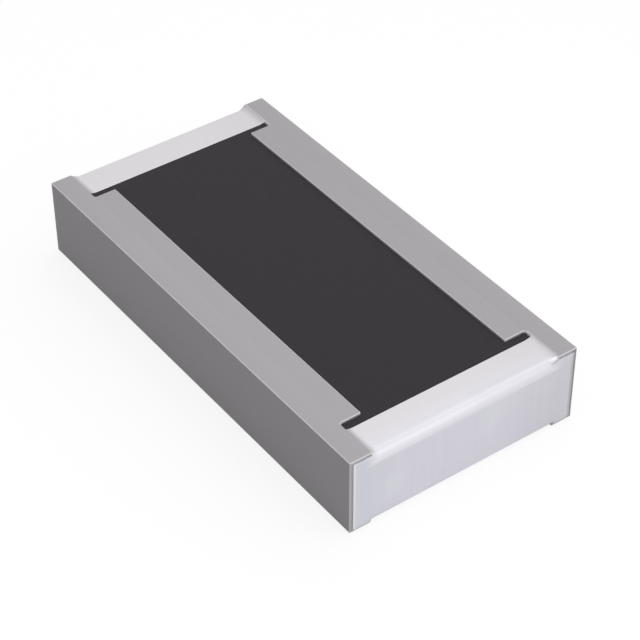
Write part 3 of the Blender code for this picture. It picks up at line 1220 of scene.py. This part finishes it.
    def rings(self) -> list[list[Point3]]:
        """Lay all sections side by side.

        Returns:
            The sections as rings of points, from the wing at -Y to the wing at +Y.
        """
        half: list[tuple[float, float, list[Point2]]] = []
        for angle in arc_angles(self.steps // 2):
            lost = self.wing_radius * (1 - math.sin(angle))
            across = self.wing_side - self.wing_radius * (1 - math.cos(angle))
            half.append((across, self.wing_shift, self.wing_ring(across, lost)))
        for step in range(self.steps + 1):
            across = self.wing_start + self.run_out * (1 - step / self.steps)
            half.append((across, 0.0, self.wing_ring(across, 0.0)))
        for step in range(self.steps + 1):
            across = self.strip_side - self.climb_reach * step / self.steps
            half.append((across, 0.0, self.strip_ring(across)))
        sign = self.end.value
        near = [[(sign * x, -across - shift, z) for x, z in ring] for across, shift, ring in half]
        half.reverse()
        far = [[(sign * x, across - shift, z) for x, z in ring] for across, shift, ring in half]
        return near + far

    def build(self) -> bpy.types.Object:
        """Make the plating and dress it.

        Returns:
            The piece that stands for this end's tin plating.
        """
        wrap = loft(f"tin_wrap_{self.end.word}", self.rings())
        shade(wrap, self.crease)
        dress(wrap, self.finish)
        seat(wrap, "tin", f"tin_plating_{self.end.word}")
        return wrap


@dataclass
class BondedLayers:
    """The layers under the coat and the tin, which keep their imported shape.

    Each finish goes on the nodes whose names start with the words beside it.
    """

    finishes: tuple[tuple[str, PlatedMetal | FiredPrint], ...] = (
        ("nickel_barrier", PlatedMetal("nickel", (0.58, 0.56, 0.52), 0.30, 0.010 * MM)),
        ("edge_film", PlatedMetal("side_film", (0.50, 0.49, 0.47), 0.35, 0.006 * MM, Drag.UPRIGHT)),
        ("top_contact", PlatedMetal("silver_print_top", (0.66, 0.64, 0.60), 0.45, 0.014 * MM)),
        ("back_contact", PlatedMetal("silver_print_back", (0.66, 0.64, 0.60), 0.45, 0.014 * MM)),
        (
            "resistive_film",
            FiredPrint("resistor_print", (0.035, 0.035, 0.038), (0.07, 0.07, 0.075), 0.60, 0.012 * MM),
        ),
        (
            "glass_coat",
            FiredPrint("glass_coat", (0.16, 0.30, 0.24), (0.22, 0.36, 0.30), 0.15, 0.030 * MM),
        ),
    )

    def build(self) -> None:
        """Dress each layer's nodes in the layer's finish."""
        for words, finish in self.finishes:
            material = finish.build()
            for name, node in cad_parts.items():
                if name.startswith(words):
                    dress(node, material)
                    LOG.info("%s: dressed in %s", name, finish.name)


@dataclass(frozen=True)
class Lamp:
    """A square softbox that faces the object. A radiance of 1 renders white."""

    name: str
    towards: Point3
    radiance: float
    size: float
    distance: float = 20 * MM

    def build(self) -> None:
        """Put up the lamp."""
        light = bpy.data.lights.new(self.name, "AREA")
        light.shape = "SQUARE"
        light.size = self.size
        light.energy = self.radiance * math.pi * self.size * self.size
        lamp = bpy.data.objects.new(self.name, light)
        place = Vector(self.towards).normalized()
        lamp.location = place * self.distance
        lamp.rotation_mode = "QUATERNION"
        lamp.rotation_quaternion = place.to_track_quat("Z", "Y")
        bpy.context.scene.collection.objects.link(lamp)


@dataclass
class Studio:
    """The pale floor, the soft world light and the lamps."""

    lamps: tuple[Lamp, ...] = (
        Lamp("overhead", (0.0, 0.0, 1.0), 0.62, 16 * MM),
        Lamp("front_light", (0.435, -0.435, 0.788), 0.70, 18 * MM),
        Lamp("end_light", (0.879, 0.364, 0.309), 0.22, 22 * MM),
    )
    from_behind: Ramp = Ramp(Axis.Y, -0.5, 0.5, 0.14, 0.86)
    from_above: Ramp = Ramp(Axis.Z, 0.35, 0.85, 0.14, 0.50)
    backdrop_white: float = 1.0
    floor_half: float = 60 * MM
    floor_albedo: float = 0.45
    shadow_albedo: float = 0.25
    floor_white: float = 0.80
    floor_glossy: float = 0.50

    def floor(self) -> bpy.types.Object:
        """Make the floor, which shows white and keeps the object's soft shadow.

        Returns:
            The floor.
        """
        h = self.floor_half
        mesh = bpy.data.meshes.new("floor")
        mesh.from_pydata([(-h, -h, 0), (h, -h, 0), (h, h, 0), (-h, h, 0)], [], [(0, 1, 2, 3)])
        floor = bpy.data.objects.new("floor", mesh)
        bpy.context.scene.collection.objects.link(floor)
        material = bpy.data.materials.new("studio_floor")
        material.use_nodes = True
        tree = material.node_tree
        tree.nodes.clear()
        shader = self.surface(tree, self.floor_albedo, 0.0)
        glossy = self.surface(tree, self.floor_albedo, self.floor_glossy)
        shader = self.by_ray(tree, Ray.GLOSSY, shader, glossy)
        shown = self.surface(tree, self.shadow_albedo, self.floor_white)
        shader = self.by_ray(tree, Ray.CAMERA, shader, shown)
        output = tree.nodes.new("ShaderNodeOutputMaterial")
        tree.links.new(shader, output.inputs["Surface"])
        floor.data.materials.append(material)
        return floor

    def by_ray(self, tree: bpy.types.NodeTree, ray: Ray, usual: Socket, special: Socket) -> Socket:
        """Answer one kind of ray differently.

        Args:
            tree: The node tree.
            ray: The kind of ray.
            usual: The shader that the other rays meet.
            special: The shader that this kind meets.

        Returns:
            The shader for all rays.
        """
        path = tree.nodes.new("ShaderNodeLightPath")
        mix = tree.nodes.new("ShaderNodeMixShader")
        tree.links.new(path.outputs[ray.value], mix.inputs["Fac"])
        tree.links.new(usual, mix.inputs[1])
        tree.links.new(special, mix.inputs[2])
        return mix.outputs["Shader"]

    def surface(self, tree: bpy.types.NodeTree, albedo: float, glow: float) -> Socket:
        """A matt surface with a glow of its own.

        Args:
            tree: The material's node tree.
            albedo: Share of the light that it sends back.
            glow: Strength of the glow.

        Returns:
            The shader.
        """
        matt = tree.nodes.new("ShaderNodeBsdfDiffuse")
        matt.inputs["Color"].default_value = (albedo, albedo, albedo, 1.0)
        light = tree.nodes.new("ShaderNodeEmission")
        light.inputs["Strength"].default_value = glow
        both = tree.nodes.new("ShaderNodeAddShader")
        tree.links.new(matt.outputs["BSDF"], both.inputs[0])
        tree.links.new(light.outputs["Emission"], both.inputs[1])
        return both.outputs["Shader"]

    def world(self) -> None:
        """Make the soft light from all round, stronger behind and above, with a white backdrop."""
        world = bpy.data.worlds.new("studio")
        bpy.context.scene.world = world
        world.use_nodes = True
        tree = world.node_tree
        tree.nodes.clear()
        direction = tree.nodes.new("ShaderNodeTexCoord")
        brighter = tree.nodes.new("ShaderNodeMath")
        brighter.operation = Sum.LARGER.value
        for k, ramp in enumerate((self.from_behind, self.from_above)):
            tree.links.new(ramped(tree, direction.outputs["Generated"], ramp), brighter.inputs[k])
        soft = tree.nodes.new("ShaderNodeBackground")
        soft.inputs["Color"].default_value = (1.0, 1.0, 1.0, 1.0)
        tree.links.new(brighter.outputs["Value"], soft.inputs["Strength"])
        white = tree.nodes.new("ShaderNodeBackground")
        white.inputs["Color"].default_value = (1.0, 1.0, 1.0, 1.0)
        white.inputs["Strength"].default_value = self.backdrop_white
        seen = self.by_ray(tree, Ray.CAMERA, soft.outputs["Background"], white.outputs["Background"])
        output = tree.nodes.new("ShaderNodeOutputWorld")
        tree.links.new(seen, output.inputs["Surface"])

    def build(self) -> None:
        """Put up the floor, the world and the lamps."""
        self.floor()
        self.world()
        for lamp in self.lamps:
            lamp.build()
        LOG.info("studio: floor, world and %d lamps", len(self.lamps))


@dataclass(frozen=True)
class PhotoCamera:
    """The camera at the photograph's viewing angle."""

    place: Point3 = (7.8683 * MM, -5.5691 * MM, 8.1872 * MM)
    look: Point3 = (-0.619272, 0.449007, -0.644123)
    up: Point3 = (-0.519409, 0.380941, 0.764917)
    lens: float = 116.679
    sensor: float = 36.0
    nearest: float = 0.1 * MM
    farthest: float = 1000 * MM

    def build(self) -> None:
        """Set up the camera."""
        camera = bpy.data.cameras.new("camera")
        camera.lens = self.lens
        camera.sensor_width = self.sensor
        camera.clip_start = self.nearest
        camera.clip_end = self.farthest
        back = -Vector(self.look).normalized()
        right = Vector(self.up).cross(back).normalized()
        up = back.cross(right)
        turn = Matrix((right, up, back)).transposed().to_4x4()
        holder = bpy.data.objects.new("camera", camera)
        holder.matrix_world = Matrix.Translation(Vector(self.place)) @ turn
        bpy.context.scene.collection.objects.link(holder)
        bpy.context.scene.camera = holder
        LOG.info("camera: at the photograph's viewing angle")


def main() -> None:
    """Build the dressed resistor, the studio and the camera in order."""
    logging.basicConfig(level=logging.INFO, format="%(message)s")
    body = CeramicBody(FiredCeramic())
    body.build()
    Overcoat(BlackOvercoat(), body).build()
    tin = TinPlate().build()
    for end in End:
        TinWrap(tin, end, body).build()
    BondedLayers().build()
    Studio().build()
    PhotoCamera().build()
    bpy.context.scene.view_settings.view_transform = "Standard"


if __name__ == "__main__":
    main()
